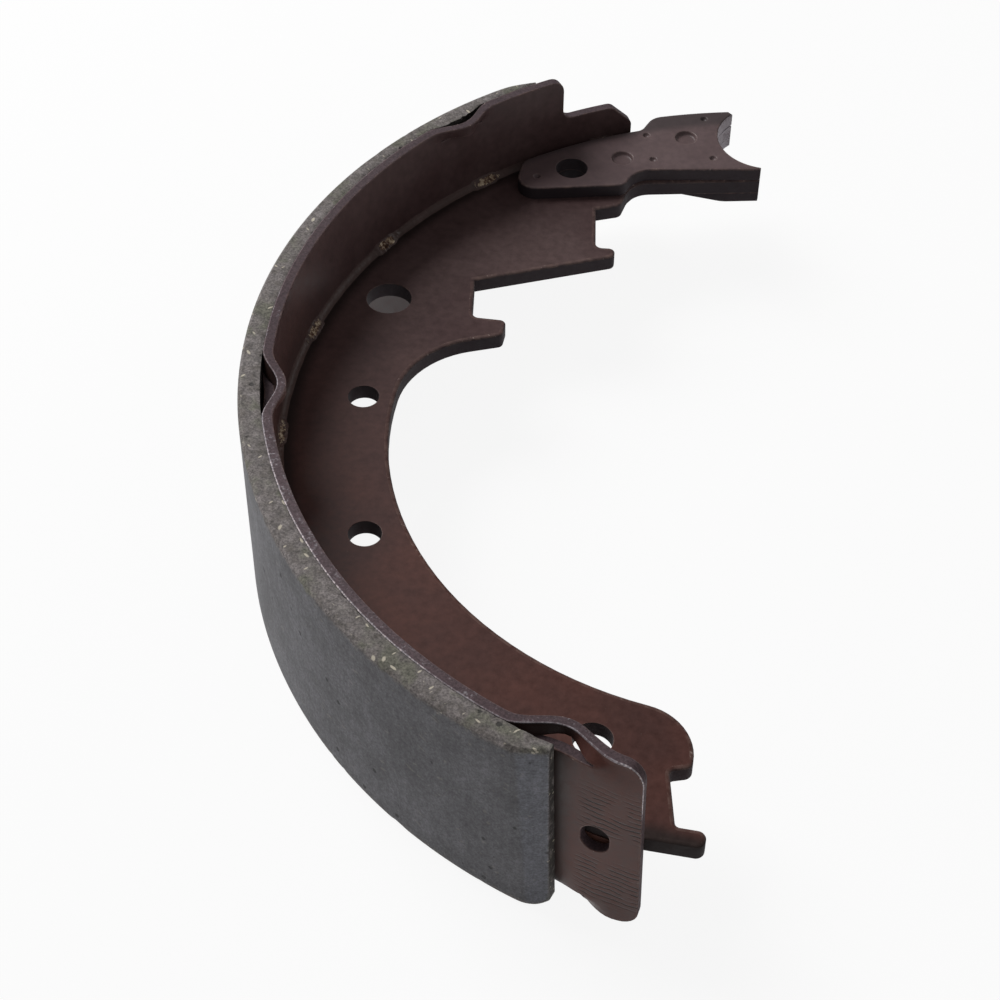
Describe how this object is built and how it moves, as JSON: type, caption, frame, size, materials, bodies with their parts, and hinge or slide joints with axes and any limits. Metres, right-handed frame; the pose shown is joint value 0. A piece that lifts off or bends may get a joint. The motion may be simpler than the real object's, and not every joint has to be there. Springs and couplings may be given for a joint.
{
  "type": "drum brake shoe",
  "caption": "Curved drum-brake shoe: bonded grey friction lining on a brown primed steel rim, with a flat web, lanced edge nibs and a doubled anchor end with a half-round seat.",
  "frame": {"origin": "on the drum's axis, at the middle of the shoe's width", "axes": "+Z along the drum's axis, out of the side with the thicker anchor plate; +Y towards the anchor end; the lining faces -X"},
  "size_m": [0.15, 0.296, 0.062],
  "materials": {
    "primed_steel": "satin",
    "friction_lining": "matte, fine-grained with pale fibres"
  },
  "bodies": {
    "root": {"rim_table": "primed_steel", "web": "primed_steel", "upper_anchor_plate": "primed_steel", "lower_anchor_plate": "primed_steel", "lining": "friction_lining", "weld_seams": "primed_steel"}
  },
  "joints": []
}
